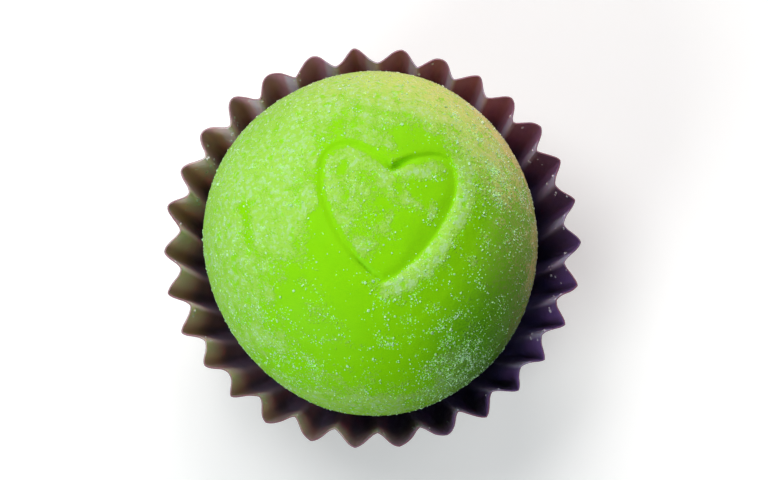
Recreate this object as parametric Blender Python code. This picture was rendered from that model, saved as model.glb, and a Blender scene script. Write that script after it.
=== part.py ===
"""A brigadeiro in its paper case: a green sweet with a heart pressed into its crown, in a pleated cup.

Metres, +Z up. The origin is the middle of the case's foot, on the surface that it stands on.
"""

import math

import bmesh
import bpy
import numpy as np

MM = 0.001

# Paper case: a flat foot and a flared wall, folded into pleats
PAPER = 0.25 * MM
CASE_HEIGHT = 15.0 * MM
FOOT_RADIUS = 13.6 * MM
FOOT_INSET = 0.2 * MM
RIM_RADIUS = 18.5 * MM
PLEATS = 30
POINTS_PER_PLEAT = 6
PLEAT_DEPTH_AT_FOOT = 0.35 * MM
PLEAT_DEPTH_AT_RIM = 1.5 * MM
# The tips of the folds are sharper on one side of the case than on the other
FOLD_SHARPNESS = 1.15
FOLD_SHARPNESS_SWING = 0.3
FOLDS_SHARPEST_AT = math.radians(240)
WALL_BULGE = 0.72
WALL_HEIGHTS = (0.06, 0.3, 0.55, 0.8, 1.0)
FIRST_PLEAT = math.radians(0.7)
CASE_OVAL = 0.0133
CASE_OVAL_AT = math.radians(5)
# How the pleats crowd and spread round the rim: waves round it, swing and where the swing peaks
PLEAT_DRIFT = ((1, 1.23, 289), (2, 1.35, 146), (3, 0.60, 39), (4, 0.38, 29))
# How their depth varies, as a share of it
PLEAT_UNEVEN = ((7, 0.09, 40), (11, 0.08, 200))

# Sweet: a rolled ball, slumped on its foot and flattened where the heart was pressed in
SWEET_RADIUS = 16.0 * MM
WAIST_HEIGHT = 15.0 * MM
CROWN_HEIGHT = 12.9 * MM
FOOT_SHARE = 0.42
CROWN_SQUARENESS = 2.25
BELLY_SQUARENESS = 1.85
SWEET_SHIFT = (-0.05 * MM, 0.27 * MM)
CLEARANCE = 0.3 * MM
# The hand-rolled unevenness of the outline: waves round it, share of the radius and where it peaks
SWEET_WAVES = ((2, 0.0178, 100), (3, 0.0077, 47), (4, 0.0053, 78))

# Heart pressed into the crown, from above: each half runs as two cubic curves from notch to tip
HEART_NOTCH = (1.8 * MM, 4.7 * MM)
HEART_TIP = (1.0 * MM, -5.7 * MM)
HEART_LEFT_LOBE = ((-1.3 * MM, 8.3 * MM), (-4.6 * MM, 7.7 * MM))
HEART_LEFT_WIDEST = (-4.6 * MM, 4.2 * MM)
HEART_LEFT_SIDE = ((-4.6 * MM, 0.4 * MM), (-2.3 * MM, -3.5 * MM))
HEART_RIGHT_LOBE = ((3.4 * MM, 5.5 * MM), (7.75 * MM, 8.3 * MM))
HEART_RIGHT_WIDEST = (7.75 * MM, 3.1 * MM)
HEART_RIGHT_SIDE = ((7.75 * MM, 0.4 * MM), (3.9 * MM, -5.0 * MM))
HEART_CENTRE = (1.45 * MM, 0.75 * MM)
HEART_POINTS = 90
CURVE_STEPS = 60
GROOVE_DEPTH = 0.4 * MM
GROOVE_WIDTH = 0.42 * MM
# The heart's floor lies deeper on one side, and the lip that the stamp raised is highest near there
SINK_AT_LEFT = 0.08 * MM
SINK_AT_RIGHT = 0.4 * MM
SINK_AT = math.radians(15)
SINK_SPAN = 6.2 * MM
LIP_HEIGHT = 0.04 * MM
LIP_PEAK = 1.6 * MM
LIP_WIDTH = 1.0 * MM
LIP_SIDE = math.radians(-35)
LIP_SIDE_HEIGHT = 0.2 * MM
RINGS_IN_HEART = (0.1, 0.35, 0.6, 0.78)
RINGS_ALONG_OUTLINE = tuple(step * MM for step in (-0.8, -0.4, 0.0, 0.4, 0.8, 1.4))
RINGS_TO_SHOULDER = (0.35, 0.7, 1.0)
SHOULDER_SHARE = 0.78
RINGS_BELOW_SHOULDER = 5
RINGS_BELOW_WAIST = 7


def material(name, colour, roughness):
    """A plain Principled material."""
    made = bpy.data.materials.new(name)
    made.use_nodes = True
    shader = made.node_tree.nodes["Principled BSDF"]
    shader.inputs["Base Color"].default_value = (*colour, 1.0)
    shader.inputs["Roughness"].default_value = roughness
    shader.inputs["Metallic"].default_value = 0.0
    made.diffuse_color = (*colour, 1.0)
    return made


def lofted(name, rings, close_start, close_end):
    """A mesh object through rings of equally many points; each end is closed by one flat face if asked."""
    bm = bmesh.new()
    rows = [[bm.verts.new(point) for point in ring] for ring in rings]
    for row, following in zip(rows, rows[1:]):
        count = len(row)
        for i in range(count):
            j = (i + 1) % count
            bm.faces.new((row[i], row[j], following[j], following[i]))
    if close_start:
        bm.faces.new(tuple(reversed(rows[0])))
    if close_end:
        bm.faces.new(tuple(rows[-1]))
    bmesh.ops.recalc_face_normals(bm, faces=bm.faces)
    mesh = bpy.data.meshes.new(name)
    bm.to_mesh(mesh)
    bm.free()
    mesh.shade_smooth()
    made = bpy.data.objects.new(name, mesh)
    bpy.context.scene.collection.objects.link(made)
    return made


def waves(angle, terms):
    """The sum of the given waves round the axis, at an angle in radians."""
    return sum(size * math.cos(count * (angle - math.radians(peak))) for count, size, peak in terms)


def fold(phase, angle):
    """From 1 at a pleat's outer tip to -1 at the inner fold; over 1, sharpness makes the tips narrower."""
    sharpness = FOLD_SHARPNESS + FOLD_SHARPNESS_SWING * math.cos(angle - FOLDS_SHARPEST_AT)
    return 2 * ((1 + math.cos(phase)) / 2) ** sharpness - 1


def case_ring(share):
    """One ring of the folded wall, at a share of the case's height."""
    radius = FOOT_RADIUS + (RIM_RADIUS - FOOT_RADIUS) * share**WALL_BULGE
    depth = PLEAT_DEPTH_AT_FOOT + (PLEAT_DEPTH_AT_RIM - PLEAT_DEPTH_AT_FOOT) * share
    count = PLEATS * POINTS_PER_PLEAT
    ring = []
    for i in range(count):
        even = math.tau * i / count
        angle = even + FIRST_PLEAT + math.radians(waves(even, PLEAT_DRIFT))
        oval = 1 + CASE_OVAL * math.cos(2 * (angle - CASE_OVAL_AT))
        deep = depth * (1 + waves(angle, PLEAT_UNEVEN))
        reach = radius * oval + deep / 2 * fold(even * PLEATS, angle)
        ring.append((reach * math.cos(angle), reach * math.sin(angle), CASE_HEIGHT * share))
    return ring


def paper_case():
    """The pleated cup: one sheet, thickened inwards and upwards so that its outside keeps the named sizes."""
    inset = 1 - FOOT_INSET / FOOT_RADIUS
    foot = [(x * inset, y * inset, z) for x, y, z in case_ring(0.0)]
    rings = [foot, *(case_ring(share) for share in WALL_HEIGHTS)]
    case = lofted("paper_case", rings, close_start=True, close_end=False)
    thicken = case.modifiers.new("paper thickness", "SOLIDIFY")
    thicken.thickness = PAPER
    thicken.offset = -1
    thicken.use_even_offset = True
    return case


def cubic(start, handles, end, steps):
    """Points along one cubic curve, without its last."""
    t = np.linspace(0, 1, steps, endpoint=False)[:, None]
    first, second = handles
    weighted = (
        (1 - t) ** 3 * np.array(start),
        3 * (1 - t) ** 2 * t * np.array(first),
        3 * (1 - t) * t**2 * np.array(second),
        t**3 * np.array(end),
    )
    return sum(weighted)


def heart_half(lobe, widest, side):
    """One half of the heart's outline, from the notch to the tip."""
    upper = cubic(HEART_NOTCH, lobe, widest, CURVE_STEPS)
    lower = cubic(widest, side, HEART_TIP, CURVE_STEPS)
    return np.concatenate([upper, lower, [HEART_TIP]])


def heart_outline(count):
    """The heart's outline, evenly spaced from the notch anticlockwise round to it again."""
    left = heart_half(HEART_LEFT_LOBE, HEART_LEFT_WIDEST, HEART_LEFT_SIDE)
    right = heart_half(HEART_RIGHT_LOBE, HEART_RIGHT_WIDEST, HEART_RIGHT_SIDE)
    loop = np.concatenate([left, right[::-1][1:]])
    along = np.concatenate([[0], np.cumsum(np.linalg.norm(np.diff(loop, axis=0), axis=1))])
    even = np.linspace(0, along[-1], count, endpoint=False)
    return np.stack([np.interp(even, along, loop[:, axis]) for axis in (0, 1)], axis=1)


def signed_distance(point, outline):
    """Distance of a point from the closed outline, negative inside it."""
    start = outline
    edge = np.roll(outline, -1, axis=0) - start
    offset = point - start
    along = np.clip((offset * edge).sum(1) / (edge * edge).sum(1), 0, 1)
    nearest = np.linalg.norm(offset - along[:, None] * edge, axis=1).min()
    end = start + edge
    crosses = (start[:, 1] > point[1]) != (end[:, 1] > point[1])
    rise = np.where(crosses, edge[:, 1], 1.0)
    reach = start[:, 0] + (point[1] - start[:, 1]) / rise * edge[:, 0]
    inside = (crosses & (point[0] < reach)).sum() % 2 == 1
    return -nearest if inside else nearest


def smooth_step(value):
    value = min(max(value, 0.0), 1.0)
    return value * value * (3 - 2 * value)


def heart_relief(point, outline):
    """Height to add to the crown: a groove along the outline, the sunken heart in it and a low lip round it."""
    distance = signed_distance(point, outline)
    groove = -GROOVE_DEPTH * math.exp(-((distance / GROOVE_WIDTH) ** 2))
    x, y = point - np.array(HEART_CENTRE)
    across = x * math.cos(SINK_AT) + y * math.sin(SINK_AT)
    deeper = smooth_step(0.5 + across / (2 * SINK_SPAN))
    sunk = -(SINK_AT_LEFT + (SINK_AT_RIGHT - SINK_AT_LEFT) * deeper)
    inside = smooth_step(0.5 - distance / (2 * GROOVE_WIDTH))
    lip = LIP_HEIGHT + LIP_SIDE_HEIGHT * max(math.cos(math.atan2(y, x) - LIP_SIDE), 0.0)
    return groove + sunk * inside + lip * math.exp(-(((distance - LIP_PEAK) / LIP_WIDTH) ** 2))


def waist_reach(angle):
    """The sweet's radius at its waist, in one direction."""
    return SWEET_RADIUS * (1 + waves(angle, SWEET_WAVES))


def crown_height(share):
    """Height of the upper half over the waist, at a share of the way out to the waist."""
    return CROWN_HEIGHT * (1 - min(share, 1.0) ** CROWN_SQUARENESS) ** (1 / CROWN_SQUARENESS)


def crown_point(point, outline):
    """The spot of the dome above a point in plan, with the heart's relief."""
    x, y = point
    share = math.hypot(x, y) / waist_reach(math.atan2(y, x))
    return (x, y, WAIST_HEIGHT + crown_height(share) + heart_relief(point, outline))


def turned_ring(angles, share, height):
    """A level ring at a share of the waist's radius."""
    reach = [waist_reach(angle) * share for angle in angles]
    return [(r * math.cos(a), r * math.sin(a), height) for r, a in zip(reach, angles)]


def sweet():
    """The ball: rings grow out of the heart, turn into circles at the shoulder and run down to the flat foot."""
    outline = heart_outline(HEART_POINTS)
    centre = np.array(HEART_CENTRE)
    spokes = outline - centre
    lengths = np.linalg.norm(spokes, axis=1)[:, None]
    plans = [centre + spokes * share for share in RINGS_IN_HEART]
    plans += [centre + spokes * (1 + step / lengths) for step in RINGS_ALONG_OUTLINE]
    start = math.atan2(spokes[0, 1], spokes[0, 0])
    angles = [start + math.tau * i / HEART_POINTS for i in range(HEART_POINTS)]
    shoulder = np.array(turned_ring(angles, SHOULDER_SHARE, 0.0))[:, :2]
    around = plans[-1]
    plans += [around + (shoulder - around) * share for share in RINGS_TO_SHOULDER]
    rings = [[crown_point(point, outline) for point in plan] for plan in plans]

    first_turn = math.asin(SHOULDER_SHARE ** (CROWN_SQUARENESS / 2))
    for i in range(1, RINGS_BELOW_SHOULDER + 1):
        turn = first_turn + (math.pi / 2 - first_turn) * i / RINGS_BELOW_SHOULDER
        share = math.sin(turn) ** (2 / CROWN_SQUARENESS)
        rings.append(turned_ring(angles, share, WAIST_HEIGHT + crown_height(share)))

    belly = WAIST_HEIGHT / (1 - FOOT_SHARE**BELLY_SQUARENESS) ** (1 / BELLY_SQUARENESS)
    last_turn = math.acos(FOOT_SHARE ** (BELLY_SQUARENESS / 2))
    for i in range(1, RINGS_BELOW_WAIST + 1):
        turn = last_turn * i / RINGS_BELOW_WAIST
        share = math.cos(turn) ** (2 / BELLY_SQUARENESS)
        drop = belly * math.sin(turn) ** (2 / BELLY_SQUARENESS)
        rings.append(turned_ring(angles, share, max(WAIST_HEIGHT - drop, 0.0)))
    ball = lofted("sweet", rings, close_start=True, close_end=True)
    ball.location = (*SWEET_SHIFT, PAPER + CLEARANCE)
    return ball


def main():
    for old in list(bpy.data.objects):
        bpy.data.objects.remove(old)
    case = paper_case()
    case.data.materials.append(material("brown paper", (0.055, 0.028, 0.028), 0.45))
    ball = sweet()
    ball.data.materials.append(material("green fondant", (0.22, 0.68, 0.01), 0.5))


main()
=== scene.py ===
"""A sugared green brigadeiro in its pleated paper case, dressed around its solids, with a plain studio.

Metres, +Z up, in the frame of the solids. The camera looks down from the south, so +Y is up in the picture.
"""

import math

import bpy
import numpy as np
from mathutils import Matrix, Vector


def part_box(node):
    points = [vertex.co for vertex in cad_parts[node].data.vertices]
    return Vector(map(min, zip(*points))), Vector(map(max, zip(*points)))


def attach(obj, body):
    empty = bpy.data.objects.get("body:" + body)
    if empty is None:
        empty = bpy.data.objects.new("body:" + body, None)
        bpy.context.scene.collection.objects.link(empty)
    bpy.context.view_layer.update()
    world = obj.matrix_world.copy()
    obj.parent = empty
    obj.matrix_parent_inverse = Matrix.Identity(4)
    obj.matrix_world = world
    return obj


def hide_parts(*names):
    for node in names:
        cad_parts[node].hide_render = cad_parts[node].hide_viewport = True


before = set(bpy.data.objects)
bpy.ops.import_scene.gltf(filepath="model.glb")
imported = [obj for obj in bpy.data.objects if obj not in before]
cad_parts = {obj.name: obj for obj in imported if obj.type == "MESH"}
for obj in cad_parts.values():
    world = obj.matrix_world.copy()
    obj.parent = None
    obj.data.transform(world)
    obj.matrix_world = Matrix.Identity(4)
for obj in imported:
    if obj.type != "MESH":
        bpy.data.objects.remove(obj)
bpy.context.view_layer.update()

bl_info = {
    "name": "Brigadeiro",
    "version": (1, 0, 0),
    "blender": (4, 5, 0),
    "location": "View3D > Sidebar > Brigadeiro",
    "description": "Makes a sugared brigadeiro in a pleated paper case",
    "category": "Add Mesh",
}

MM = 0.001
MICRON = 0.001 * MM

# Stage: the floor's radius in metres and the camera's sensor in mm
FLOOR_RADIUS = 3.0
SENSOR_WIDTH = 36
# Softboxes: name, azimuth from +X and elevation in degrees, diameter, watts and colour
LIGHT_DISTANCE = 0.5
LIGHTS = (
    ("key", 140, 58, 0.3, 1.06, (1.0, 1.0, 1.0)),
    ("north", 92, 30, 0.3, 1.36, (1.06, 1.0, 0.97)),
    ("south_west", 225, 28, 0.3, 1.65, (0.93, 1.01, 1.0)),
    ("east", 0, 58, 0.3, 0.2, (1.0, 1.0, 1.0)),
    ("north_east", 45, 28, 0.3, 0.38, (1.1, 1.0, 1.0)),
)

# Paper case: the outside of its wall keeps the solid's named sizes
CASE_HEIGHT = 15.0 * MM
FOOT_RADIUS = 13.6 * MM
FOOT_INSET = 0.2 * MM
RIM_RADIUS = 18.5 * MM
PLEAT_DEPTH_AT_FOOT = 0.35 * MM
PLEAT_DEPTH_AT_RIM = 1.5 * MM
FOLD_SHARPNESS = 0.95
FOLD_SHARPNESS_SWING = 0.15
FOLD_CRISPNESS = 0.4
FOLDS_SHARPEST_AT = math.radians(305)
WALL_BULGE = 0.72
FIRST_PLEAT = math.radians(0.7)
CASE_OVAL = 0.0133
CASE_OVAL_AT = math.radians(5)
# Waves round the rim, each by its count, size and peak in degrees: the pleats' drift in degrees, how much
# deeper they are, as a share, and the rim's swell
PLEAT_DRIFT = ((1, 1.23, 289), (2, 1.35, 146), (3, 0.60, 39), (4, 0.38, 29))
PLEAT_UNEVEN = ((7, 0.09, 40), (11, 0.08, 200))
RIM_SWELL = ((0, 0.09 * MM, 0), (1, 0.1 * MM, 60))
POINTS_PER_PLEAT = 20
FOOT_RINGS = (0.35 * MM, 1.2 * MM, 3.0 * MM, 4.0 * MM)
WALL_RINGS = (0.012, 0.03, 0.06, 0.1, *(0.15 + 0.05 * i for i in range(16)), 0.93, 0.96, 0.98, 0.993, 1.0)
# How far handling put single pleats off: a tip's sway, depth, height, sharpness and lean to one side
TIP_SWAY = math.radians(0.6)
TIP_DEPTH_SPREAD = 0.1
TIP_RISE = 0.12 * MM
TIP_SHARPNESS_SPREAD = 0.25
TIP_LEAN = 0.35
# Which side of the paper is dustiest, with painted light, and which side has the darkest painted shade
DUSTIEST_AND_LIT_AT = math.radians(205)
SHADIEST_AT = math.radians(334)
# Where on a fold the paper is palest, by painted highlight and dust, as a phase that is 180 at the inner
# crest
LIT_FLANK_AT = math.radians(212)
# Heights over which the paper goes from painted shade low beside the sweet to its own colour, from plain to a
# painted highlight on its folds, and from wall to cut edge
LOW_SHADE_HEIGHTS = (CASE_HEIGHT - 8.5 * MM, CASE_HEIGHT - 4 * MM)
LIT_STRIP_HEIGHTS = (CASE_HEIGHT - 7.5 * MM, CASE_HEIGHT - 2.5 * MM)
CUT_EDGE = (CASE_HEIGHT - 0.14 * MM, CASE_HEIGHT - 0.05 * MM)
# Crumpling: size of its lumps and their depth
CRUMPLE = (1.3 * MM, 0.12 * MM)
CREASE_ANGLE = math.radians(50)

# Sweet: a rolled ball, slumped on its foot and flattened where the heart was pressed in
SWEET_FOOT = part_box("sweet")[0].z
WAIST_HEIGHT = 15.0 * MM
CROWN_HEIGHT = 12.9 * MM
FOOT_SHARE = 0.42
CROWN_SQUARENESS = 2.25
BELLY_SQUARENESS = 1.85
SWEET_SHIFT = (-0.05 * MM, 0.27 * MM)
SWEET_WAVES = ((2, 0.0178, 100), (3, 0.0077, 47), (4, 0.0053, 78))
BALL_CUTS = 63
# Faces of the round ball over this height, as a share of its radius, are cut finer
FINER_ABOVE = -0.12
# Dents: size and depth
BROAD_DENTS = (7 * MM, 0.16 * MM)
SMALL_DENTS = (0.8 * MM, 0.035 * MM)

# Crystals: smallest and largest of each kind
DUST_SIZES = (0.06 * MM, 0.13 * MM)
GRAIN_SIZES = (0.10 * MM, 0.19 * MM)
COARSE_SIZES = (0.18 * MM, 0.3 * MM)
FALLEN_SIZES = (0.16 * MM, 0.32 * MM)
# Crystals far enough from the axis, on one side, take a painted warm light, and those further out fell in the
# case
WARM_LIT_REACH = (12 * MM, 15.5 * MM)
WARM_LIT_TOWARDS = (0.5, 0.87, 0.0)
WARM_LIT_SIDE = (-3 * MM, 6 * MM)
FALLEN = (15.9 * MM, 16.6 * MM)
# How far round the waist the crystals gather, up and down
WAIST_SPREAD = 1.6 * MM

# Heart, from above, measured from the sweet's axis: each half runs as two cubic curves from notch to tip
HEART_NOTCH = (1.8 * MM, 4.7 * MM)
HEART_TIP = (1.0 * MM, -5.7 * MM)
HEART_LEFT_LOBE = ((-1.3 * MM, 8.3 * MM), (-4.6 * MM, 7.7 * MM))
HEART_LEFT_WIDEST = (-4.6 * MM, 4.2 * MM)
HEART_LEFT_SIDE = ((-4.6 * MM, 0.4 * MM), (-2.3 * MM, -3.5 * MM))
HEART_RIGHT_LOBE = ((3.4 * MM, 5.5 * MM), (7.75 * MM, 8.3 * MM))
HEART_RIGHT_WIDEST = (7.75 * MM, 3.1 * MM)
HEART_RIGHT_SIDE = ((7.75 * MM, 0.4 * MM), (3.9 * MM, -5.0 * MM))
HEART_CENTRE = (1.45 * MM, 0.75 * MM)
HEART_REACH = 9.5 * MM
CURVE_STEPS = 100
# Groove: steeper outside the outline than inside it
GROOVE_DEPTH = 0.09 * MM
GROOVE_OUTSIDE = 0.27 * MM
GROOVE_INSIDE = 0.5 * MM
# Where the stamp bit harder: direction from the heart's centre, half width in degrees, extra depth, wider by
BITES = ((77, 11, 0.5 * MM, 0.0), (-113, 16, 0.25 * MM, -0.2 * MM), (-28, 42, 0.25 * MM, 0.9 * MM))
SINK_AT_LEFT = 0.08 * MM
SINK_AT_RIGHT = 0.2 * MM
SINK_EDGE = 0.22 * MM
SINK_AT = math.radians(15)
SINK_SPAN = 6.2 * MM
# Lip that the stamp raised outside the groove, higher to the south-east
LIP_HEIGHT = 0.04 * MM
LIP_PEAK = 1.6 * MM
LIP_WIDTH = 1.0 * MM
LIP_SIDE = math.radians(-35)
LIP_SIDE_HEIGHT = 0.1 * MM


def read_points(piece):
    """A piece's vertices as rows of x, y, z."""
    flat = np.empty(len(piece.data.vertices) * 3, np.float32)
    piece.data.vertices.foreach_get("co", flat)
    return flat.reshape(-1, 3).astype(float)


def write_points(piece, points):
    """Puts a piece's vertices at the given rows."""
    piece.data.vertices.foreach_set("co", points.astype(np.float32).ravel())
    piece.data.update()


def mark_points(piece, **marks):
    """Stores numbers on a piece's vertices, each kind under its name, for its material to read."""
    for name, values in marks.items():
        mark = piece.data.attributes.new(name, "FLOAT", "POINT")
        mark.data.foreach_set("value", values.astype(np.float32))


def make_only(piece):
    """Leaves this piece alone selected and active, in object mode."""
    bpy.ops.object.select_all(action="DESELECT")
    piece.select_set(True)
    bpy.context.view_layer.objects.active = piece


def new_piece(name):
    """Names the primitive that was just added."""
    piece = bpy.context.object
    piece.name = name
    piece.data.name = name
    return piece


def read_marks(piece, name):
    """The numbers stored on a piece's vertices under a name."""
    values = np.empty(len(piece.data.vertices), np.float32)
    piece.data.attributes[name].data.foreach_get("value", values)
    return values


def select_faces(piece, chosen):
    """Selects, in object mode, just the faces that are chosen by one flag each."""
    mesh = piece.data
    mesh.vertices.foreach_set("select", np.zeros(len(mesh.vertices), bool))
    mesh.edges.foreach_set("select", np.zeros(len(mesh.edges), bool))
    mesh.polygons.foreach_set("select", chosen)
    bpy.context.tool_settings.mesh_select_mode = (False, False, True)


def face_centres(piece):
    """The middles of a piece's faces as rows of x, y, z."""
    flat = np.empty(len(piece.data.polygons) * 3, np.float32)
    piece.data.polygons.foreach_get("center", flat)
    return flat.reshape(-1, 3).astype(float)


def apply_modifier(piece, kind, **settings):
    """Adds a modifier, sets it and applies it."""
    make_only(piece)
    modifier = piece.modifiers.new(kind.lower(), kind)
    for name, value in settings.items():
        setattr(modifier, name, value)
    bpy.ops.object.modifier_apply(modifier=modifier.name)


def dent(piece, size, depth, name):
    """Pushes the surface in and out by soft cloud noise of a feature size and a depth."""
    clouds = bpy.data.textures.new(name, "CLOUDS")
    clouds.noise_scale = size
    clouds.noise_depth = 2
    apply_modifier(piece, "DISPLACE", texture=clouds, strength=depth, mid_level=0.5)
    bpy.data.textures.remove(clouds)


def finish_piece(piece, material):
    """Gives a finished piece its material and its body."""
    piece.data.materials.clear()
    piece.data.materials.append(material)
    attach(piece, "root")


def smooth_step(low, high, value):
    """0 under low, 1 over high and a soft step between."""
    share = np.clip((value - low) / (high - low), 0, 1)
    return share * share * (3 - 2 * share)


def waves(angle, terms):
    """The sum of waves round the axis at angles in radians, each by its count, size and peak in degrees."""
    return sum(size * np.cos(count * (angle - math.radians(peak))) for count, size, peak in terms)


class Value:
    """A shader socket that Python's operators act on; each adds one Math node."""

    def __init__(self, tree, socket):
        self.tree = tree
        self.socket = socket

    def math(self, operation, *values):
        node = self.tree.nodes.new("ShaderNodeMath")
        node.operation = operation
        for slot, value in zip(node.inputs, values):
            if isinstance(value, Value):
                self.tree.links.new(value.socket, slot)
            else:
                slot.default_value = value
        return Value(self.tree, node.outputs[0])

    def __add__(self, other):
        return self.math("ADD", self, other)

    def __sub__(self, other):
        return self.math("SUBTRACT", self, other)

    def __rsub__(self, other):
        return self.math("SUBTRACT", other, self)

    def __mul__(self, other):
        return self.math("MULTIPLY", self, other)

    __radd__ = __add__
    __rmul__ = __mul__

    def above(self, low, high):
        """0 under low, 1 over high and a soft step between."""
        node = self.tree.nodes.new("ShaderNodeMapRange")
        node.interpolation_type = "SMOOTHSTEP"
        self.tree.links.new(self.socket, node.inputs["Value"])
        node.inputs["From Min"].default_value = low
        node.inputs["From Max"].default_value = high
        return Value(self.tree, node.outputs["Result"])


class Finish:
    """A material under construction: its Principled shader and the nodes that vary it."""

    def __init__(self, name, **constants):
        self.material = bpy.data.materials.new(name)
        self.material.use_nodes = True
        self.tree = self.material.node_tree
        self.shader = self.tree.nodes["Principled BSDF"]
        for socket, value in constants.items():
            self.shader.inputs[socket.replace("_", " ")].default_value = value

    def node(self, kind, settings=(), values=(), output=0):
        """One output of a new node, after its settings and the values or links of its sockets are set."""
        made = self.tree.nodes.new(kind)
        for name, value in dict(settings).items():
            setattr(made, name, value)
        for name, value in dict(values).items():
            self.feed(made.inputs[name], value)
        return Value(self.tree, made.outputs[output])

    def feed(self, socket, value):
        """Links or sets one socket."""
        if isinstance(value, Value):
            self.tree.links.new(value.socket, socket)
        else:
            socket.default_value = value

    def done(self, **links):
        """Feeds the shader what varies over the surface, and hands the material over."""
        for name, value in links.items():
            self.feed(self.shader.inputs[name.replace("_", " ")], value)
        return self.material

    def mark(self, name):
        """The number that the piece's points carry under this name."""
        return self.node("ShaderNodeAttribute", {"attribute_name": name}, output="Fac")

    def place(self):
        """The spot on the piece, in its own coordinates."""
        return self.node("ShaderNodeTexCoord", output="Object")

    def flat_place(self):
        """The spot on the piece in plan."""
        return self.node("ShaderNodeVectorMath", {"operation": "MULTIPLY"}, {0: self.place(), 1: (1, 1, 0)})

    def noise(self, size, detail=2.0, roughness=0.5):
        """Noise whose lumps are about this size."""
        values = {"Vector": self.place(), "Scale": 1 / size, "Detail": detail, "Roughness": roughness}
        return self.node("ShaderNodeTexNoise", {"noise_dimensions": "3D"}, values)

    def mix(self, share, first, second):
        """A colour between two, by a share."""
        settings = {"data_type": "RGBA", "blend_type": "MIX"}
        return self.node("ShaderNodeMix", settings, {0: share, 6: first, 7: second}, output=2)

    def bump(self, height, depth):
        """A normal from a height between 0 and 1 that stands for a depth."""
        values = {"Height": height, "Distance": depth, "Strength": 1.0}
        return self.node("ShaderNodeBump", values=values)


def colour(red, green, blue):
    """A colour with its alpha, as sockets take it."""
    return (red, green, blue, 1.0)


def fondant_finish(settings):
    """Bare green fondant where the sugar rubbed off, and a pale bloom of powder where it held, with painted
    shade on the south-east rim and painted warm light on the north-east rim.
    """
    made = Finish(
        "green fondant",
        Subsurface_Weight=0.1,
        Subsurface_Scale=1.0 * MM,
        Subsurface_Radius=(0.7, 1.0, 0.15),
        Specular_IOR_Level=0.04,
    )
    tan = made.mark("tan")
    fine = made.noise(0.26 * MM, detail=3.0, roughness=0.65)
    clump = made.noise(1.5 * MM, detail=2.0)
    blot = made.noise(0.45 * MM, detail=1.0)
    bare_spot = made.noise(0.85 * MM, detail=0.0).above(0.66, 0.74)
    ragged = made.mark("powder") + (fine - 0.5) * 1.4 + (clump - 0.5) * 0.4
    held = ragged.above(0.25, 0.65) * (1 - bare_spot * 0.75)
    minty = blot.above(0.46, 0.66) * ragged.above(0.45, 0.85)
    green = made.mix(clump, colour(*settings.green), colour(*settings.green_deep))
    bloomed = made.mix(held * 0.95, green, colour(*settings.bloom))
    caked = made.mix(minty * 0.8, bloomed, colour(*settings.powder))
    # Painted shade: the fondant is mixed towards a dark green on the south-east rim, where shade falls.
    shade_share = made.mark("damp") * (fine.above(0.35, 0.65) * 0.3 + 0.38)
    shaded_fondant = made.mix(shade_share, caked, colour(*settings.damp))
    # Painted warm light: beige mixed in on the east and north rim, strongest on the east limb.
    warm_lit = tan * (held * 0.4 + fine.above(0.4, 0.62) * 0.35 + 0.08) + tan.above(1.0, 1.5) * 0.3
    return made.done(
        Base_Color=made.mix(warm_lit, shaded_fondant, colour(*settings.tan)),
        Roughness=held * 0.3 + 0.45,
        Normal=made.bump(fine * (held * 0.8 + 0.2), 0.08 * MM),
    )


def paper_finish(settings):
    """Brown paper: dust and painted light on one side, painted shade on the other and low down beside the
    sweet, and a painted highlight along the folds.
    """
    made = Finish(
        "brown greased paper",
        Coat_Roughness=0.32,
        Subsurface_Weight=0.7,
        Subsurface_Scale=0.32 * MM,
        Subsurface_Radius=(1.0, 0.5, 0.6),
        Sheen_Weight=0.16,
        Sheen_Roughness=0.4,
        Sheen_Tint=colour(0.85, 0.78, 1.0),
    )
    height = made.node("ShaderNodeSeparateXYZ", values={"Vector": made.place()}, output="Z")
    fibre = made.noise(0.22 * MM, detail=3.0, roughness=0.6)
    blotch = made.noise(2.6 * MM, detail=2.0)
    flank = made.mark("flank")
    # Painted shade: the paper is darkened to navy low down beside the sweet, where its shadow falls.
    low = 1 - height.above(*LOW_SHADE_HEIGHTS)
    dry = made.mix(blotch, colour(*settings.brown), colour(*settings.brown_deep))
    # Painted shade: the paper darkens to purple on the east side, where shade falls.
    side_shaded = made.mix(made.mark("fat").above(0.55, 1.0), dry, colour(*settings.shaded))
    shaded = made.mix(low * 0.75, side_shaded, colour(*settings.low_shade))
    # Painted highlight: a pale strip on the upper part of one flank of each fold.
    worn = flank.above(0.74, 0.98) * height.above(*LIT_STRIP_HEIGHTS) * (fibre * 0.5 + 0.5)
    rubbed = made.mix(worn, shaded, colour(*settings.fold_highlight))
    # Sugar dust and painted light: the west side's folds are lightened by real dust and by painted light.
    dusted_and_lit = made.mark("dusty").above(0.4, 0.95) * (1 - low * 0.6)
    dusted_and_lit = dusted_and_lit * (fibre * 0.25 + 0.76) * (flank.above(0.3, 0.9) * 0.8 + 0.2)
    inner = made.mix(dusted_and_lit, rubbed, colour(*settings.dust))
    outer = made.mix(blotch, colour(*settings.outside), colour(*settings.outside_deep))
    walls = made.mix(made.mark("outside"), inner, outer)
    return made.done(
        Base_Color=made.mix(height.above(*CUT_EDGE) * 0.7, walls, colour(*settings.cut_edge)),
        Roughness=fibre * 0.2 + 0.38,
        Coat_Weight=blotch * 0.3 + 0.3,
        Normal=made.bump(fibre, 0.02 * MM),
    )


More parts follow.
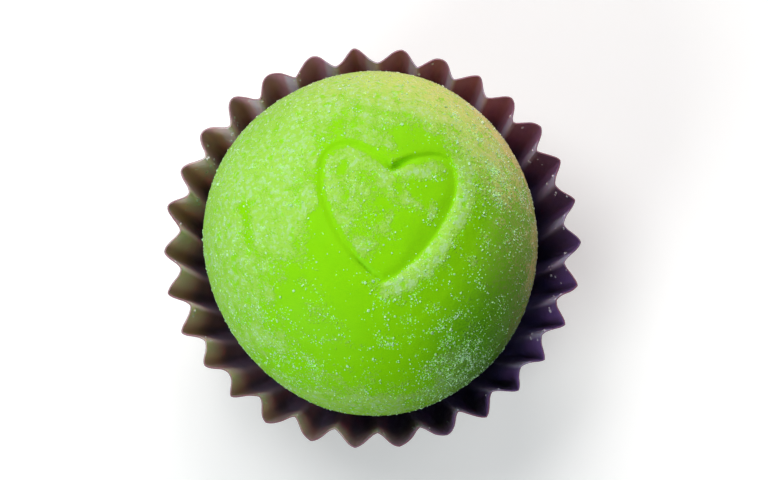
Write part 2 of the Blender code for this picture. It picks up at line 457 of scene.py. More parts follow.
def sugar_finish(name, settings, cover):
    """Clouded sugar that half hides what is under it: tinted by painted warm light on the north-east rim,
    white in the case.
    """
    made = Finish(name, IOR=1.54, Roughness=0.28, Alpha=cover)
    cloud = made.noise(0.5 * MM, detail=1.0)
    fresh = made.mix(cloud, colour(*settings.clear), colour(*settings.cloudy))
    spot = made.flat_place()
    off_axis = made.node("ShaderNodeVectorMath", {"operation": "LENGTH"}, {0: spot}, output=1)
    ways = {0: spot, 1: WARM_LIT_TOWARDS}
    sideways = made.node("ShaderNodeVectorMath", {"operation": "DOT_PRODUCT"}, ways, output=1)
    # Painted warm light on the crystals far out on the north-east side.
    warm_lit = off_axis.above(*WARM_LIT_REACH) * sideways.above(*WARM_LIT_SIDE)
    warm_tinted = made.mix(warm_lit, fresh, colour(*settings.warm_lit))
    return made.done(Base_Color=made.mix(off_axis.above(*FALLEN), warm_tinted, colour(*settings.white)))


def floor_finish(settings):
    """Plain white card with the faintest tooth."""
    made = Finish(
        "white card",
        Roughness=0.9,
        IOR=1.2,
        Emission_Color=colour(1, 1, 1),
        Emission_Strength=settings.floor_glow,
    )
    tooth = made.noise(2.0 * MM, detail=2.0) * 0.5
    return made.done(Base_Color=made.mix(tooth, colour(*settings.floor), colour(0.93, 0.93, 0.93)))


def fold_phase(count, even):
    """The phase of the folding at an even share of the way round, and the angle where the drift puts it."""
    angle = even + FIRST_PLEAT + np.radians(waves(even, PLEAT_DRIFT))
    return even * count, angle


def fold(phase, angle, spread):
    """From 1 at a pleat's outer tip to -1 at the inner fold."""
    toward = np.cos(angle - FOLDS_SHARPEST_AT)
    soft = 2 * ((1 + np.cos(phase)) / 2) ** (FOLD_SHARPNESS + FOLD_SHARPNESS_SWING * toward + spread) - 1
    crisp = 1 - 2 * np.arccos(np.clip(np.cos(phase), -1, 1)) / math.pi
    return soft + FOLD_CRISPNESS * (1 + toward) / 2 * (crisp - soft)


def per_pleat(random, count, even):
    """A random number between -1 and 1 for each pleat, run smoothly from one pleat to the next."""
    drawn = random.uniform(-1, 1, count)
    return np.interp(even / math.tau * count, np.arange(count + 1), np.append(drawn, drawn[0]))


def folded(points, count, random):
    """Folds a plain flared cup's points, and tells how far out and on which flank of its fold each one is."""
    x, y, z = points.T
    share = np.clip(z / CASE_HEIGHT, 0, 1)
    even = np.arctan2(y, x) % math.tau
    phase, angle = fold_phase(count, even)
    phase = phase + TIP_LEAN * per_pleat(random, count, even) * np.sin(phase) * share
    out = fold(phase, angle, TIP_SHARPNESS_SPREAD * per_pleat(random, count, even) * share)
    tip = (1 + out) / 2
    angle = angle + TIP_SWAY * per_pleat(random, count, even) * tip * share
    depth = PLEAT_DEPTH_AT_FOOT + (PLEAT_DEPTH_AT_RIM - PLEAT_DEPTH_AT_FOOT) * share
    depth = depth * (1 + waves(angle, PLEAT_UNEVEN))
    depth = depth * (1 + TIP_DEPTH_SPREAD * share * per_pleat(random, count, even))
    oval = 1 + CASE_OVAL * np.cos(2 * (angle - CASE_OVAL_AT))
    reach = np.hypot(x, y)
    pleated = np.clip(reach / FOOT_RADIUS, 0, 1) ** 8
    reach = reach * oval + depth / 2 * out * pleated + waves(angle, RIM_SWELL) * share
    rise = TIP_RISE * per_pleat(random, count, even) * share**6
    placed = np.stack([reach * np.cos(angle), reach * np.sin(angle), z + rise - TIP_RISE * share**6], axis=1)
    return placed, tip, 0.5 + 0.5 * np.cos(phase - LIT_FLANK_AT)


def put_in_order(case, sides):
    """Rebuilds the plain cup's mesh ring by ring, because extruding leaves its faces in any order.

    Each face starts at the lower end of the diagonal that it had, so that it is cut in the same triangles.
    """
    points = read_points(case)
    turn = np.round(np.arctan2(points[:, 1], points[:, 0]) / math.tau * sides) % sides
    ring = np.round(np.hypot(points[:, 0], points[:, 1]) / MICRON)
    order = np.lexsort((turn, ring, np.round(points[:, 2] / MICRON)))
    rank = np.argsort(order)
    faces = []
    for face in case.data.polygons:
        corners = rank[list(face.vertices)].tolist()
        first = corners.index(min(corners[::2]))
        faces.append(corners[first:] + corners[:first])
    case.data.clear_geometry()
    case.data.from_pydata(points[order], [], sorted(faces))


class BRIGADEIRO_OT_paper_case(bpy.types.Operator):
    """Folds the paper case: a disc is drawn up into a flared wall, pleated and given the paper's thickness"""

    bl_idname = "brigadeiro.paper_case"
    bl_label = "Paper case"

    def execute(self, context):
        settings = context.scene.brigadeiro_case
        sides = settings.pleats * POINTS_PER_PLEAT
        bpy.ops.object.select_all(action="DESELECT")
        bpy.ops.mesh.primitive_circle_add(vertices=sides, radius=FOOT_RADIUS - FOOT_INSET, fill_type="NGON")
        case = new_piece("paper_case_folded")
        bpy.context.tool_settings.mesh_select_mode = (False, False, True)
        bpy.ops.object.mode_set(mode="EDIT")
        bpy.ops.mesh.select_all(action="SELECT")
        for step in FOOT_RINGS:
            bpy.ops.mesh.inset(thickness=step)
        bpy.ops.mesh.poke()
        bpy.ops.mesh.select_all(action="DESELECT")
        bpy.context.tool_settings.mesh_select_mode = (False, True, False)
        bpy.ops.mesh.select_non_manifold()
        last = FOOT_RADIUS - FOOT_INSET
        height = 0.0
        for share in WALL_RINGS:
            flare = FOOT_RADIUS + (RIM_RADIUS - FOOT_RADIUS) * share**WALL_BULGE
            rise = CASE_HEIGHT * share - height
            bpy.ops.mesh.extrude_region_move(TRANSFORM_OT_translate={"value": (0, 0, rise)})
            bpy.ops.transform.resize(value=(flare / last, flare / last, 1), center_override=(0, 0, 0))
            last = flare
            height = CASE_HEIGHT * share
        bpy.ops.mesh.select_all(action="SELECT")
        bpy.ops.mesh.normals_make_consistent(inside=False)
        bpy.ops.object.mode_set(mode="OBJECT")
        put_in_order(case, sides)
        points, tip, flank = folded(read_points(case), settings.pleats, np.random.default_rng(settings.seed))
        write_points(case, points)
        angle = np.arctan2(points[:, 1], points[:, 0])
        # Sides of the case for dust with painted light, and for painted shade.
        dusty, fat = (0.5 + 0.5 * np.cos(angle - most) for most in (DUSTIEST_AND_LIT_AT, SHADIEST_AT))
        mark_points(case, fold=tip, flank=flank, dusty=dusty, fat=fat)
        dent(case, *CRUMPLE, "crumple")
        write_points(case, np.maximum(read_points(case), (-1, -1, 0)))
        outer = len(case.data.vertices)
        apply_modifier(case, "SOLIDIFY", thickness=settings.paper, offset=-1, use_even_offset=True)
        mark_points(case, outside=np.arange(len(case.data.vertices)) < outer)
        bpy.ops.object.shade_smooth_by_angle(angle=CREASE_ANGLE)
        finish_piece(case, paper_finish(settings))
        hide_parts("paper_case")
        return {"FINISHED"}


def cubic(start, handles, end):
    """Points along one cubic curve, without its last."""
    t = np.linspace(0, 1, CURVE_STEPS, endpoint=False)[:, None]
    first, second = (np.array(handle) for handle in handles)
    near = (1 - t) ** 3 * np.array(start) + 3 * (1 - t) ** 2 * t * first
    return near + 3 * (1 - t) * t**2 * second + t**3 * np.array(end)


def heart_outline():
    """The heart's outline from the notch anticlockwise round to it again."""
    left = np.concatenate(
        [
            cubic(HEART_NOTCH, HEART_LEFT_LOBE, HEART_LEFT_WIDEST),
            cubic(HEART_LEFT_WIDEST, HEART_LEFT_SIDE, HEART_TIP),
        ]
    )
    right = np.concatenate(
        [
            cubic(HEART_NOTCH, HEART_RIGHT_LOBE, HEART_RIGHT_WIDEST),
            cubic(HEART_RIGHT_WIDEST, HEART_RIGHT_SIDE, HEART_TIP),
        ]
    )
    return np.concatenate([left, [HEART_TIP], right[:0:-1]])


def distance_to_outline(plan, outline):
    """Distance of points in plan from the closed outline, negative inside it."""
    edge = np.roll(outline, -1, axis=0) - outline
    length = (edge * edge).sum(1)
    signed = np.empty(len(plan))
    for start in range(0, len(plan), 4000):
        some = plan[start : start + 4000, None, :]
        offset = some - outline
        along = np.clip((offset * edge).sum(2) / length, 0, 1)
        nearest = np.linalg.norm(offset - along[..., None] * edge, axis=2).min(1)
        crosses = (outline[:, 1] > some[..., 1]) != (outline[:, 1] + edge[:, 1] > some[..., 1])
        rise = np.where(crosses, edge[:, 1], 1.0)
        reach = outline[:, 0] + (some[..., 1] - outline[:, 1]) / rise * edge[:, 0]
        inside = (crosses & (some[..., 0] < reach)).sum(1) % 2 == 1
        signed[start : start + 4000] = np.where(inside, -nearest, nearest)
    return signed


def heart_relief(plan, distance):
    """Height to add to the crown: the groove, the sunken floor inside it and a low lip outside it."""
    from_centre = plan - np.array(HEART_CENTRE)
    around = np.arctan2(from_centre[:, 1], from_centre[:, 0])
    depth, inside_width, outside_width = GROOVE_DEPTH, GROOVE_INSIDE, GROOVE_OUTSIDE
    for at, width, extra, wider in BITES:
        off = (np.degrees(around) - at + 180) % 360 - 180
        bite = np.exp(-((off / width) ** 2))
        depth = depth + extra * bite
        inside_width = inside_width + wider * bite
        outside_width = outside_width + wider * bite / 3
    width = np.where(distance < 0, inside_width, outside_width)
    groove = -depth * np.exp(-((distance / width) ** 2))
    across = from_centre @ (math.cos(SINK_AT), math.sin(SINK_AT))
    deeper = smooth_step(-SINK_SPAN, SINK_SPAN, across)
    sunk = -(SINK_AT_LEFT + (SINK_AT_RIGHT - SINK_AT_LEFT) * deeper)
    inside = 1 - smooth_step(-SINK_EDGE, SINK_EDGE, distance)
    lip = LIP_HEIGHT + LIP_SIDE_HEIGHT * np.clip(np.cos(around - LIP_SIDE), 0, 1)
    return groove + sunk * inside + lip * np.exp(-(((distance - LIP_PEAK) / LIP_WIDTH) ** 2))


def ball_form(points, radius):
    """Takes a round ball to the slumped one: a superellipse crown, and a belly cut flat by the foot."""
    unit = points / np.linalg.norm(points, axis=1)[:, None]
    flat = np.hypot(unit[:, 0], unit[:, 1])
    angle = np.arctan2(unit[:, 1], unit[:, 0])
    up = np.clip(unit[:, 2], 0, 1)
    down = np.clip(-unit[:, 2], 0, 1)
    belly = WAIST_HEIGHT / (1 - FOOT_SHARE**BELLY_SQUARENESS) ** (1 / BELLY_SQUARENESS)
    drop = belly * down ** (2 / BELLY_SQUARENESS)
    height = WAIST_HEIGHT + CROWN_HEIGHT * up ** (2 / CROWN_SQUARENESS) - drop
    share = np.where(unit[:, 2] > 0, flat ** (2 / CROWN_SQUARENESS), flat ** (2 / BELLY_SQUARENESS))
    reach = share * radius * (1 + waves(angle, SWEET_WAVES))
    return np.stack([reach * np.cos(angle), reach * np.sin(angle), np.clip(height, 0, None)], axis=1)


def patch(plan, start, end, reach):
    """1 along a straight stretch in plan, fading over its reach."""
    start = np.array(start) * MM
    run = np.array(end) * MM - start
    along = np.clip((plan - start) @ run / max(run @ run, 1e-12), 0, 1)
    off = np.linalg.norm(plan - start - along[:, None] * run, axis=1)
    return np.exp(-((off / (reach * MM)) ** 2))


def patched(share, plan, patches):
    """A share that patches change, each by its start, end, reach and change."""
    for start, end, reach, change in patches:
        share = share + change * patch(plan, start, end, reach)
    return share


# Where the powder held more or less than its general fall to the south-east: from, to and reach in mm, change
POWDER_PATCHES = (
    ((-3.5, 3.6), (-1.4, -3.0), 0.9, 0.2),
    ((-1.6, 3.4), (0.8, 1.6), 1.8, 0.1),
    ((2.2, 0.6), (-0.6, -2.6), 0.6, 0.25),
    ((1.6, 3.8), (5.6, 4.8), 0.9, 0.6),
    ((3.2, 1.8), (5.8, 0.2), 0.7, 0.55),
    ((4.0, 4.6), (6.4, 4.0), 0.8, 0.3),
    ((-2.9, 4.2), (-2.1, 5.3), 0.35, -0.3),
    ((5.6, 1.9), (5.3, -0.6), 0.35, 0.4),
    ((2.7, 8.2), (3.3, 6.6), 0.6, -0.9),
    ((3.4, 6.2), (5.2, 6.4), 0.45, -0.5),
    ((-4.9, 0.2), (-3.4, -2.6), 0.9, -0.6),
    ((-5.7, 2.4), (-5.5, 1.2), 0.5, 0.35),
    ((-3.4, -3.4), (-1.6, -7.0), 1.6, -0.7),
    ((-11.6, 1.6), (-11.1, -1.6), 0.5, -0.5),
    ((-10.6, -8.6), (-8.0, -11.8), 1.0, 0.1),
    ((-9.6, -6.6), (-8.6, -8.4), 1.2, -0.25),
    ((-7.2, -4.6), (-6.6, -7.4), 1.2, -0.4),
    ((-5.0, -13.9), (2.0, -15.6), 1.2, 0.35),
    ((-6.0, 14.8), (4.0, 15.2), 0.9, 0.3),
    ((6.5, -13.2), (8.8, -11.6), 1.5, 0.5),
    ((5.8, 2.6), (2.6, -3.4), 1.3, -0.3),
)
# The edge between powdered and bare: a point on it in mm, and the way into the powder
BARE_EDGE = ((-7.0, -6.0), (-0.85, 0.53))
# Where loose crystals gathered on the sweet, and where they fell in the case
LOOSE_PATCHES = (
    ((6, -8), (1, -9), 3.5, 0.7),
    ((11, -6), (12, 2), 4.0, 0.32),
    ((9, 10), (13.5, 2), 2.5, 1.0),
    ((-10.5, -8), (-7, -12.5), 2.0, 0.8),
    ((6, -13.5), (9.5, -11.5), 2.0, 1.4),
)
FALLEN_PATCHES = (
    ((-12, 13), (-16, 8), 6.0, 1.0),
    ((17, 4), (17, -4), 5.0, 1.0),
)


def mottle(random, points, size, count=40):
    """A smooth random field over the points, about -1 to 1, with lumps of about this size."""
    way = random.normal(size=(3, count))
    way = way / np.linalg.norm(way, axis=0) * random.uniform(0.6, 1.4, count) * math.pi / size
    return np.cos(points @ way + random.uniform(0, math.tau, count)).sum(1) / 8


def share_and_angle(points, radius):
    """How far out each point lies, as a share of the radius, and its angle round the axis in degrees."""
    x, y = points[:, 0], points[:, 1]
    return np.hypot(x, y) / radius, np.degrees(np.arctan2(y, x))


def powder_map(points, distance, radius, random):
    """How much powder lies on each point of the sweet, about 0 to 1."""
    plan = points[:, :2]
    edge, inward = BARE_EDGE
    past = (plan - np.array(edge) * MM) @ np.array(inward)
    powder = 0.12 + 0.53 * smooth_step(-6.0 * MM, 4.5 * MM, past) + 0.17 * smooth_step(3 * MM, 12 * MM, past)
    share, angle = share_and_angle(points, radius)
    north_east = smooth_step(-15, 35, angle) * (1 - smooth_step(120, 150, angle))
    powder = np.maximum(powder, 0.74 * north_east * smooth_step(0.5, 0.72, share))
    powder = np.maximum(powder, 0.5 * smooth_step(0.92, 1.0, share))
    powder = patched(powder, plan, POWDER_PATCHES)
    from_heart = plan - np.array(HEART_CENTRE)
    south_east = np.clip(np.cos(np.arctan2(from_heart[:, 1], from_heart[:, 0]) - LIP_SIDE), 0, 1)
    band = smooth_step(-0.2 * MM, 0.15 * MM, distance) * (1 - smooth_step(1.0 * MM, 2.2 * MM, distance))
    powder = powder + 0.8 * band * smooth_step(0.1, 0.7, south_east)
    powder = powder + 0.13 * mottle(random, points, 2.0 * MM) + 0.18 * mottle(random, points, 0.8 * MM)
    rubbed = np.exp(-(((distance + 0.7 * MM * south_east) / (0.42 * MM)) ** 4))
    rubbed = rubbed * (points[:, 2] > WAIST_HEIGHT)
    return np.clip(powder, 0, 1) * (1 - rubbed)


def warm_light_map(points, radius, random):
    """Painted warm light: beige towards the east and north rim, and over 1 in a band of stronger painted warm
    light on the east limb.
    """
    share, angle = share_and_angle(points, radius)
    share = share + 0.025 * mottle(random, points, 1.6 * MM) + 0.02 * mottle(random, points, 0.8 * MM)
    toward = smooth_step(-45, -5, angle) * (1 - smooth_step(50, 140, angle))
    band = smooth_step(-48, -10, angle) * (1 - smooth_step(40, 90, angle)) * smooth_step(0.85, 0.97, share)
    return np.maximum(toward * smooth_step(0.56, 0.98, share), 1.5 * band)


def damp_map(points, radius):
    """Painted shade: how much darker the fondant is painted towards the south-east rim, where shade falls."""
    share, angle = share_and_angle(points, radius)
    return smooth_step(-80, -45, angle) * (1 - smooth_step(0, 30, angle)) * smooth_step(0.55, 0.85, share)


class BRIGADEIRO_OT_sweet(bpy.types.Operator):
    """Rolls the ball, lets it slump, presses the heart into its crown and maps where the powder holds"""

    bl_idname = "brigadeiro.sweet"
    bl_label = "Sweet"

    def execute(self, context):
        settings = context.scene.brigadeiro_sweet
        bpy.ops.object.select_all(action="DESELECT")
        bpy.ops.mesh.primitive_cube_add(size=2)
        ball = new_piece("fondant_ball")
        bpy.ops.object.mode_set(mode="EDIT")
        bpy.ops.mesh.subdivide(number_cuts=BALL_CUTS)
        bpy.ops.transform.tosphere(value=1)
        bpy.ops.object.mode_set(mode="OBJECT")
        self.refine(ball, face_centres(ball)[:, 2] > FINER_ABOVE)
        write_points(ball, ball_form(read_points(ball), settings.radius))
        near = np.linalg.norm(face_centres(ball)[:, :2] - np.array(HEART_CENTRE), axis=1) < HEART_REACH
        self.refine(ball, near & (face_centres(ball)[:, 2] > WAIST_HEIGHT))
        points = read_points(ball)
        distance = distance_to_outline(points[:, :2], heart_outline())
        upper = points[:, 2] > WAIST_HEIGHT
        points[:, 2] += heart_relief(points[:, :2], distance) * upper
        random = np.random.default_rng(settings.seed)
        powder = powder_map(points, distance, settings.radius, random)
        # One map paints warm light on the north-east rim, the other paints shade on the south-east rim.
        tan = warm_light_map(points, settings.radius, random)
        damp = damp_map(points, settings.radius)
        points += (*SWEET_SHIFT, SWEET_FOOT)
        write_points(ball, points)
        mark_points(ball, powder=powder, tan=tan, damp=damp)
        dent(ball, *BROAD_DENTS, "slump")
        dent(ball, *SMALL_DENTS, "grain")
        make_only(ball)
        bpy.ops.object.shade_smooth()
        finish_piece(ball, fondant_finish(settings))
        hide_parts("sweet")
        return {"FINISHED"}

    def refine(self, ball, chosen):
        """Cuts each chosen face in four."""
        make_only(ball)
        select_faces(ball, chosen)
        bpy.ops.object.mode_set(mode="EDIT")
        bpy.ops.mesh.subdivide(number_cuts=1)
        bpy.ops.object.mode_set(mode="OBJECT")


def triangles(piece):
    """Rows of a piece's triangles: the numbers of their three vertices."""
    mesh = piece.data
    mesh.calc_loop_triangles()
    corners = np.empty(len(mesh.loop_triangles) * 3, np.int32)
    mesh.loop_triangles.foreach_get("vertices", corners)
    return corners.reshape(-1, 3)


def crystal(name, worn):
    """One crystal, a block of size 1; worn rounds its edges off."""
    bpy.ops.object.select_all(action="DESELECT")
    bpy.ops.mesh.primitive_cube_add(size=1)
    block = new_piece(name)
    bpy.ops.object.mode_set(mode="EDIT")
    if worn:
        bpy.ops.mesh.bevel(offset=0.16, segments=1, affect="EDGES")
    bpy.ops.object.mode_set(mode="OBJECT")
    return block, read_points(block), triangles(block)


def random_turns(random, count, tilt):
    """Random rotation matrices: any turn about Z, then a tilt of about this many radians."""
    half_turn = random.uniform(0, math.tau, count) / 2
    lean = random.normal(size=(2, count)) * tilt / 2
    w, z = np.cos(half_turn), np.sin(half_turn)
    x, y = lean[0] * w - lean[1] * z, lean[1] * w + lean[0] * z
    w, x, y, z = np.stack([w, x, y, z]) / np.sqrt(w * w + x * x + y * y + z * z)
    rows = [
        [1 - 2 * (y * y + z * z), 2 * (x * y - z * w), 2 * (x * z + y * w)],
        [2 * (x * y + z * w), 1 - 2 * (x * x + z * z), 2 * (y * z - x * w)],
        [2 * (x * z - y * w), 2 * (y * z + x * w), 1 - 2 * (x * x + y * y)],
    ]
    return np.array(rows).transpose(2, 0, 1)


def surface_of(piece):
    """A piece's triangles: the rows of their corners, where those are, areas and normals."""
    corners = triangles(piece)
    points = read_points(piece)
    a, b, c = (points[corners[:, i]] for i in range(3))
    across = np.cross(b - a, c - a)
    length = np.linalg.norm(across, axis=1)
    return corners, (a, b, c), length / 2, across / np.maximum(length, 1e-18)[:, None]


def frames_on(normal):
    """For each normal, a matrix whose rows are two directions across it and the normal itself."""
    side = np.cross(normal, (0.31, 0.27, 0.91))
    side /= np.linalg.norm(side, axis=1)[:, None]
    return np.stack([side, np.cross(normal, side), normal], axis=1)


def scatter(name, random, count, sizes, worn, surface, density, sunk=0.4, tilt=0.4):
    """Joins many crystals into one piece, drawn over a surface by density, at sizes from and to."""
    block, shape, faces = crystal(name, worn)
    _, (a, b, c), area, normal = surface
    weight = area * density
    chosen = random.choice(len(area), count, p=weight / weight.sum())
    u, v = random.uniform(size=(2, count, 1))
    u, v = np.where(u + v > 1, 1 - u, u), np.where(u + v > 1, 1 - v, v)
    spot = a[chosen] + u * (b - a)[chosen] + v * (c - a)[chosen]
    size = sizes[0] + (sizes[1] - sizes[0]) * random.uniform(size=count) ** 2
    stretch = random.uniform(0.65, 1.0, size=(count, 1, 3))
    turned = (shape * stretch * (1, 1, 0.5)) @ random_turns(random, count, tilt)
    placed = (turned * size[:, None, None]) @ frames_on(normal[chosen]) + spot[:, None, :]
    placed += (normal[chosen] * (size * (0.5 - sunk))[:, None])[:, None, :]
    joined = (faces[None] + np.arange(count)[:, None, None] * len(shape)).reshape(-1, 3)
    mesh = bpy.data.meshes.new(name)
    mesh.from_pydata(placed.reshape(-1, 3), [], joined)
    mesh.validate()
    old = block.data
    block.data = mesh
    bpy.data.meshes.remove(old)
    mesh.name = name
    return block


class BRIGADEIRO_OT_sugar(bpy.types.Operator):
    """Strews the sugar: fine dust where the powder holds, grains all over and a few coarse crystals"""

    bl_idname = "brigadeiro.sugar"
    bl_label = "Sugar"

    def execute(self, context):
        settings = context.scene.brigadeiro_sugar
        random = np.random.default_rng(settings.seed)
        ball = bpy.data.objects["fondant_ball"]
        surface = surface_of(ball)
        corners, (a, b, c), _, normal = surface
        held = read_marks(ball, "powder")[corners].mean(1)
        middle = (a + b + c) / 3
        shown = smooth_step(10 * MM, 15 * MM, middle[:, 2])
        loose = patched(0.25, middle[:, :2], LOOSE_PATCHES)
        loose = loose * np.exp(1.1 * mottle(random, middle, 1.1 * MM))
        groove_clear = np.clip(held * 4 + 0.15, 0, 1)
        shown = shown * np.clip(normal[:, 2] * 1.6 + 0.2, 0.2, 1)
        waist = np.exp(-(((middle[:, 2] - WAIST_HEIGHT - SWEET_FOOT) / WAIST_SPREAD) ** 2))
        powdery = sugar_finish("sugar dust", settings, settings.dust_cover)
        glassy = sugar_finish("sugar crystals", settings, settings.grain_cover)
        layers = (
            ("sugar_dust", settings.dust, DUST_SIZES, powdery, (0.12, 0.5, 0.0)),
            ("sugar_grains", settings.grains, GRAIN_SIZES, glassy, (0.03, 0.6, 1.1)),
            ("sugar_coarse", settings.coarse, COARSE_SIZES, glassy, (0.02, 0.6, 1.5)),
        )
        for name, count, sizes, material, (by_powder, by_looseness, by_waist) in layers:
            density = by_powder * held + by_looseness * loose + by_waist * waist
            worn = material == glassy
            layer = scatter(name, random, count, sizes, worn, surface, density * shown * groove_clear)
            layer.visible_shadow = worn
            finish_piece(layer, material)
        self.strew_case(settings, random, glassy)
        return {"FINISHED"}

    def strew_case(self, settings, random, material):
        """A few crystals that fell on the inner folds, mostly north-west and east."""
        case = bpy.data.objects["paper_case_folded"]
        surface = surface_of(case)
        corners, (a, b, c), _, normal = surface
        middle = (a + b + c) / 3
        inward = -(normal[:, :2] * middle[:, :2]).sum(1) / np.linalg.norm(middle[:, :2], axis=1)
        crest = 1 - read_marks(case, "fold")[corners].mean(1)
        high = smooth_step(9 * MM, 14.5 * MM, middle[:, 2])
        density = (inward > 0.2) * crest**2 * high * patched(0.3, middle[:, :2], FALLEN_PATCHES)
        layer = scatter("sugar_in_case", random, settings.fallen, FALLEN_SIZES, True, surface, density)
        finish_piece(layer, material)


class BRIGADEIRO_OT_stage(bpy.types.Operator):
    """Sets the stage: white floor, soft key from the north-west, weak tinted fills, and the camera"""

    bl_idname = "brigadeiro.stage"
    bl_label = "Stage"

    def execute(self, context):
        settings = context.scene.brigadeiro_stage
        bpy.ops.object.select_all(action="DESELECT")
        bpy.ops.mesh.primitive_circle_add(vertices=96, radius=FLOOR_RADIUS, fill_type="NGON")
        floor = new_piece("floor")
        floor.data.materials.append(floor_finish(settings))
        floor.visible_diffuse = False
        world = bpy.data.worlds.new("studio")
        world.use_nodes = True
        sky = world.node_tree.nodes["Background"].inputs
        sky["Color"].default_value = colour(*settings.sky)
        sky["Strength"].default_value = settings.sky_strength
        context.scene.world = world
        for light in LIGHTS:
            self.add_light(*light)
        self.add_camera(context, settings)
        context.scene.view_settings.view_transform = "Standard"
        return {"FINISHED"}

    def add_light(self, name, azimuth, elevation, size, watts, tint):
        """A round softbox aimed at the rim's middle."""
        turn, rise = math.radians(azimuth), math.radians(elevation)
        toward = Vector((math.cos(turn) * math.cos(rise), math.sin(turn) * math.cos(rise), math.sin(rise)))
        bpy.ops.object.light_add(type="AREA", location=toward * LIGHT_DISTANCE + Vector((0, 0, CASE_HEIGHT)))
        lamp = bpy.context.object
        lamp.name = name
        lamp.rotation_euler = toward.to_track_quat("Z", "Y").to_euler()
        lamp.data.shape = "DISK"
        lamp.data.size = size
        lamp.data.energy = watts
        lamp.data.color = tint

    def add_camera(self, context, settings):
        """The camera over the south side, aimed a little beside the case's middle."""
        rise = settings.elevation
        back = Vector((0, -math.cos(rise), math.sin(rise)))
        up = Vector((0, math.sin(rise), math.cos(rise)))
        aim = Vector((0, 0, CASE_HEIGHT)) + Vector((1, 0, 0)) * settings.aim_right + up * settings.aim_up
        bpy.ops.object.camera_add(location=aim + back * settings.distance)
        camera = bpy.context.object
        camera.name = "camera"
        camera.rotation_euler = back.to_track_quat("Z", "Y").to_euler()
        camera.data.sensor_width = SENSOR_WIDTH
        camera.data.lens = SENSOR_WIDTH * settings.distance / settings.frame_width
        camera.data.clip_start = 0.01
        camera.data.clip_end = 20
        context.scene.camera = camera


def length(name, description, default):
    return bpy.props.FloatProperty(
        name=name,
        description=description,
        default=default,
        unit="LENGTH",
        precision=5,
    )


def tint(name, description, default):
    return bpy.props.FloatVectorProperty(
        name=name,
        description=description,
        default=default,
        subtype="COLOR",
        size=3,
    )


def angle_of(name, description, default):
    return bpy.props.FloatProperty(name=name, description=description, default=default, subtype="ANGLE")


def strength_of(name, description, default):
    return bpy.props.FloatProperty(name=name, description=description, default=default, min=0)


def count_of(name, description, default):
    return bpy.props.IntProperty(name=name, description=description, default=default, min=1)


def share_of(name, description, default):
    return bpy.props.FloatProperty(name=name, description=description, default=default, min=0, max=1)


class CaseSettings(bpy.types.PropertyGroup):
    """The paper case's size and colours"""

    pleats: count_of("Pleats", "Folds round the wall", 30)
    paper: length("Paper", "Thickness of the paper", 0.12 * MM)
    seed: count_of("Seed", "Start of the random draw of uneven pleats", 7)
    brown: tint("Brown", "Colour of the paper", (0.43, 0.17, 0.29))
    brown_deep: tint("Deep brown", "Colour of its darker blotches", (0.36, 0.14, 0.25))
    # Colour of the painted shade on the case's east side
    shaded: tint("Soaked", "Colour where fat soaked the paper", (0.13, 0.055, 0.24))
    # Colour of the painted shade low beside the sweet
    low_shade: tint("Steeped", "Colour low beside the sweet", (0.05, 0.05, 0.20))
    # Colour of the sugar dust with painted light on the case's west side
    dust: tint("Dust", "Colour of the sugar dust on the paper", (0.95, 0.73, 0.72))
    # Colour of the painted highlight on the folds
    fold_highlight: tint("Crease", "Colour of rubbed folds", (0.55, 0.49, 0.74))
    outside: tint("Outside", "Colour of the paper's outer face", (0.15, 0.07, 0.055))
    outside_deep: tint("Deep outside", "Colour of its darker blotches", (0.115, 0.05, 0.04))
    cut_edge: tint("Cut edge", "Colour of the paper's cut edge", (0.2, 0.05, 0.08))


class SweetSettings(bpy.types.PropertyGroup):
    """The sweet's size and colours"""

    radius: length("Radius", "Mean radius at the waist", 15.8 * MM)
    seed: count_of("Seed", "Start of the random draw of the powder's mottling", 3)
    green: tint("Green", "Colour of the bare fondant", (0.275, 0.72, 0.003))
    green_deep: tint("Deep green", "Colour of its darker blotches", (0.24, 0.67, 0.003))
    bloom: tint("Bloom", "Colour where a thin powder lies", (0.355, 0.68, 0.08))
    powder: tint("Powder", "Colour where the powder lies thick", (0.43, 0.71, 0.29))
    # Colour of the painted warm light on the sweet's east and north rim
    tan: tint("Tan", "Colour of the stale bloom on the rim", (0.86, 0.70, 0.26))
    # Colour of the painted shade on the fondant towards the south-east rim
    damp: tint("Damp", "Colour of the fondant where the sugar drew damp", (0.05, 0.27, 0.012))


class SugarSettings(bpy.types.PropertyGroup):
    """The sugar's amounts and colours"""

    seed: count_of("Seed", "Start of the random draw of crystals", 11)
    dust: count_of("Dust", "Number of the finest crystals", 8000)
    grains: count_of("Grains", "Number of grains", 2800)
    coarse: count_of("Coarse", "Number of coarse crystals", 230)
    fallen: count_of("Fallen", "Number of crystals that fell into the case", 90)
    # Colour of the painted warm light on the crystals of the north-east rim
    warm_lit: tint("Stale", "Colour of the crystals on the north-east rim", (0.78, 0.86, 0.62))
    white: tint("White", "Colour of the crystals that fell in the case", (0.97, 0.93, 1.0))
    dust_cover: share_of("Dust cover", "How much of what is under it the dust hides", 0.35)
    grain_cover: share_of("Grain cover", "How much of what is under it a grain hides", 0.7)
    clear: tint("Clear", "Colour of the clearer crystals", (0.50, 0.97, 0.28))
    cloudy: tint("Cloudy", "Colour of the whiter crystals", (0.74, 1.0, 0.78))


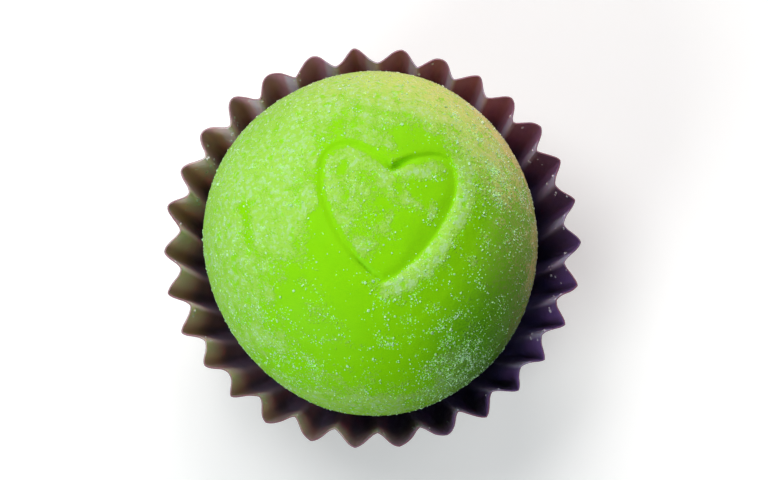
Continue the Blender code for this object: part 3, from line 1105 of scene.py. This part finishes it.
class StageSettings(bpy.types.PropertyGroup):
    """The camera, the floor and the light from all round"""

    elevation: angle_of("Elevation", "Camera's height over the horizon", math.radians(80))
    distance: length("Distance", "From the camera to the case's rim", 0.30)
    frame_width: length("Frame width", "What the picture's width takes in at the rim", 71.91 * MM)
    aim_right: length("Aim right", "How far right of the middle the camera aims", 1.13 * MM)
    aim_up: length("Aim up", "How far above the middle the camera aims", 0.62 * MM)
    floor: tint("Floor", "Colour of the floor", (0.91, 0.9, 0.87))
    floor_glow: strength_of("Floor glow", "Light of the floor's own", 0.2)
    sky: tint("Sky", "Colour of the light from all round", (0.75, 0.95, 1.5))
    sky_strength: strength_of("Sky strength", "How strong the light from all round is", 0.05)


class BRIGADEIRO_PT_panel(bpy.types.Panel):
    """Lists what the brigadeiro is made of"""

    bl_idname = "BRIGADEIRO_PT_panel"
    bl_label = "Brigadeiro"
    bl_space_type = "VIEW_3D"
    bl_region_type = "UI"
    bl_category = "Brigadeiro"

    def draw(self, context):
        for attribute, settings, operator in PARTS:
            box = self.layout.box()
            group = getattr(context.scene, attribute)
            for name in settings.__annotations__:
                box.prop(group, name)
            box.operator(operator.bl_idname)


PARTS = (
    ("brigadeiro_case", CaseSettings, BRIGADEIRO_OT_paper_case),
    ("brigadeiro_sweet", SweetSettings, BRIGADEIRO_OT_sweet),
    ("brigadeiro_sugar", SugarSettings, BRIGADEIRO_OT_sugar),
    ("brigadeiro_stage", StageSettings, BRIGADEIRO_OT_stage),
)


def register():
    for attribute, settings, operator in PARTS:
        bpy.utils.register_class(settings)
        bpy.utils.register_class(operator)
        setattr(bpy.types.Scene, attribute, bpy.props.PointerProperty(type=settings))
    bpy.utils.register_class(BRIGADEIRO_PT_panel)


def unregister():
    bpy.utils.unregister_class(BRIGADEIRO_PT_panel)
    for attribute, settings, operator in reversed(PARTS):
        delattr(bpy.types.Scene, attribute)
        bpy.utils.unregister_class(operator)
        bpy.utils.unregister_class(settings)


def main():
    register()
    bpy.ops.brigadeiro.stage()
    bpy.ops.brigadeiro.paper_case()
    bpy.ops.brigadeiro.sweet()
    bpy.ops.brigadeiro.sugar()


if __name__ == "__main__":
    main()
